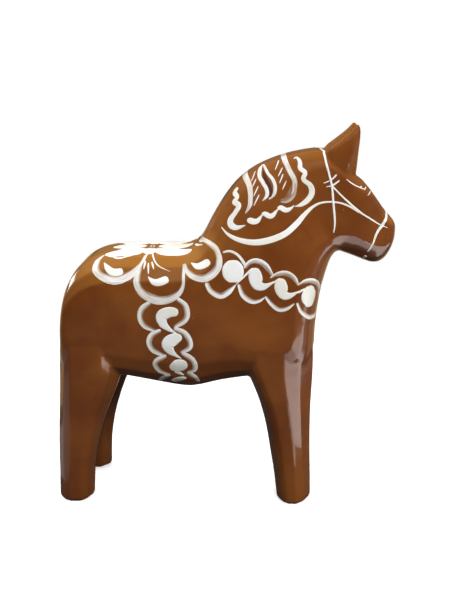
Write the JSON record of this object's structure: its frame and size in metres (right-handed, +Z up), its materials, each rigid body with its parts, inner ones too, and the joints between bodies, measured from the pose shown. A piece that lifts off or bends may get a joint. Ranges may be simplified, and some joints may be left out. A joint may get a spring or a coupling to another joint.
{
  "type": "dala horse",
  "caption": "Standing wooden folk-craft horse, carved from a glued and dowelled blank, with straight legs, an arched neck and pricked ears; it rests on its flat feet.",
  "frame": {"origin": "on the ground, in the middle of the horse's box", "axes": "+X towards the head, +Y to the horse's left, +Z up"},
  "size_m": [0.1796, 0.06, 0.2],
  "materials": {
    "brown_gloss_paint": "carved pine under glossy brown paint, with white brushed ornament on top",
    "beech": "bare turned beech",
    "white_paint": "glossy white paint, brushed on by hand over the brown"
  },
  "bodies": {
    "root": {"core_board": "brown_gloss_paint", "left_board": "brown_gloss_paint", "right_board": "brown_gloss_paint", "dowel_rump": "beech", "dowel_belly": "beech", "dowel_shoulder": "beech", "dowel_neck": "beech"}
  },
  "joints": []
}
